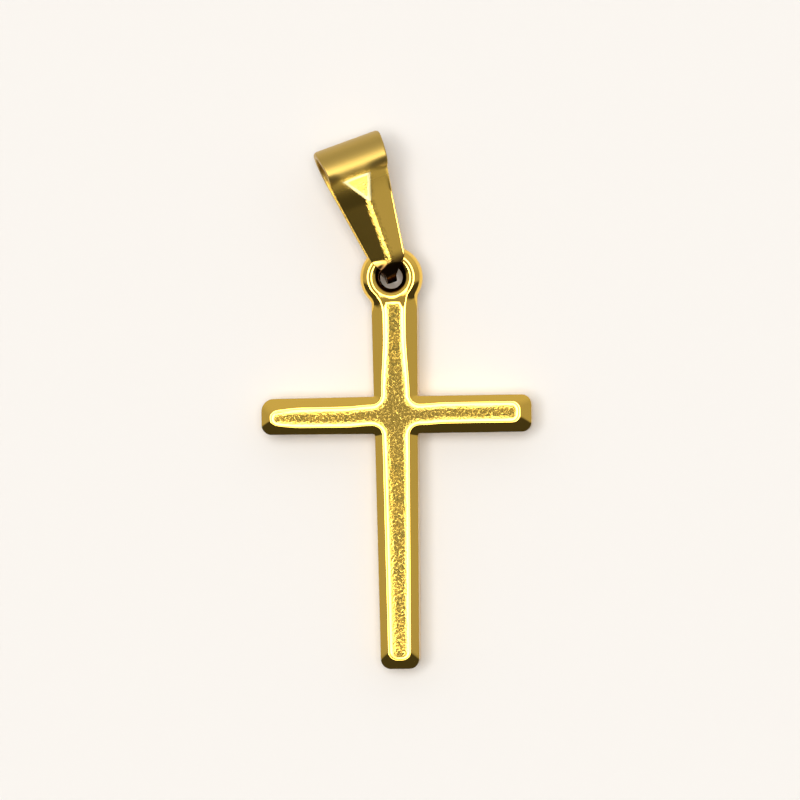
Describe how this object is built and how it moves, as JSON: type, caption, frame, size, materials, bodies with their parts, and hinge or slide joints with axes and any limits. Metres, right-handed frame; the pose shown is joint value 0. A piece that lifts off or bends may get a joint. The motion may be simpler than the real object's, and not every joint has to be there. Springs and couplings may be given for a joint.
{
  "type": "cross pendant",
  "caption": "Small gold-tone cross pendant cast in one piece with its eye ring, and hung from a folded sheet bail for a chain.",
  "frame": {"origin": "middle of the pendant's footprint, on the surface that it lies on", "axes": "+X towards the arm at the right, +Y from the foot towards the bail, +Z out of the cross's face"},
  "size_m": [0.016, 0.0318, 0.0039],
  "materials": {
    "cast_metal": "polished gold tone, pitted on the face",
    "sheet_metal": "satin to polished gold tone"
  },
  "bodies": {
    "root": {"cross": "cast_metal", "bail": "sheet_metal"}
  },
  "joints": []
}
